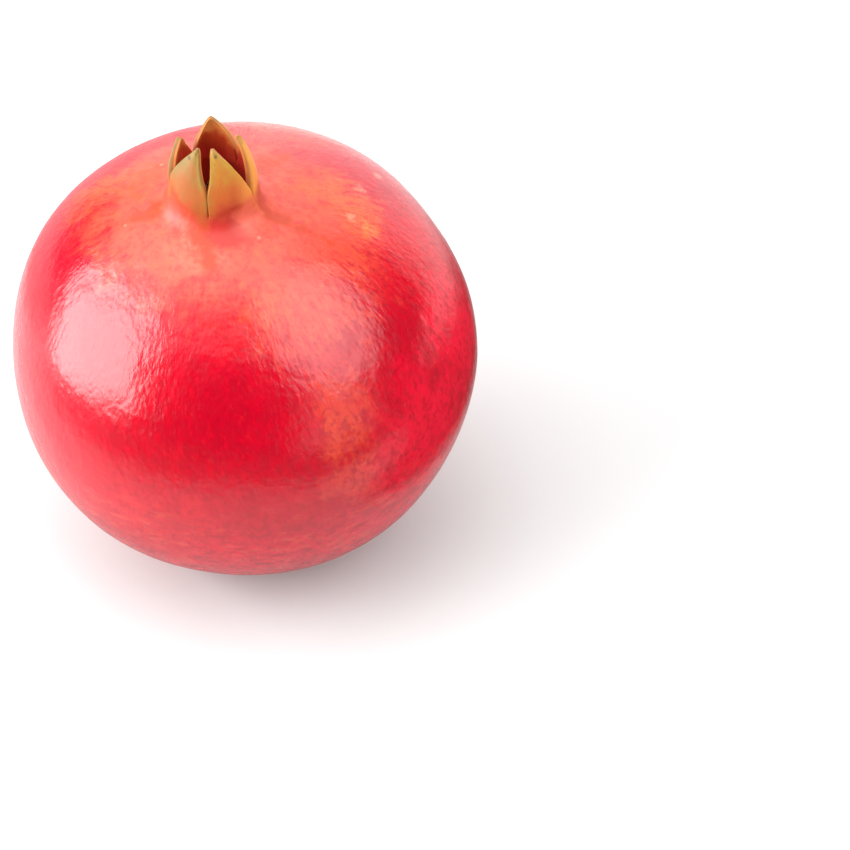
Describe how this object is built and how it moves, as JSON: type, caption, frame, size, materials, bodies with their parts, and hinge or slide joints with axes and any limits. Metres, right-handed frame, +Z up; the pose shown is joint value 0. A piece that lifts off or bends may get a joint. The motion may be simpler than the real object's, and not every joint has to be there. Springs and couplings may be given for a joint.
{
  "type": "pomegranate",
  "caption": "Whole ripe pomegranate: round red fruit with a short sepal crown round a cup of dried stamens, standing on its base.",
  "frame": {"origin": "on the surface the fruit stands on, under the middle of its bounding box", "axes": "+Z up through the fruit towards its crown, -Y towards the side that the picture shows, +X to the right as seen there"},
  "size_m": [0.1038, 0.1038, 0.1141],
  "materials": {
    "rind": "waxy, leathery fruit rind, glossy, mottled crimson and orange, turning khaki and brown on the crown",
    "dried_stamens": "dry and matt",
    "stem_wood": "matt cut wood"
  },
  "bodies": {
    "root": {"fruit": "rind", "dried_stamens": "dried_stamens", "stem_stub": "stem_wood"}
  },
  "joints": []
}
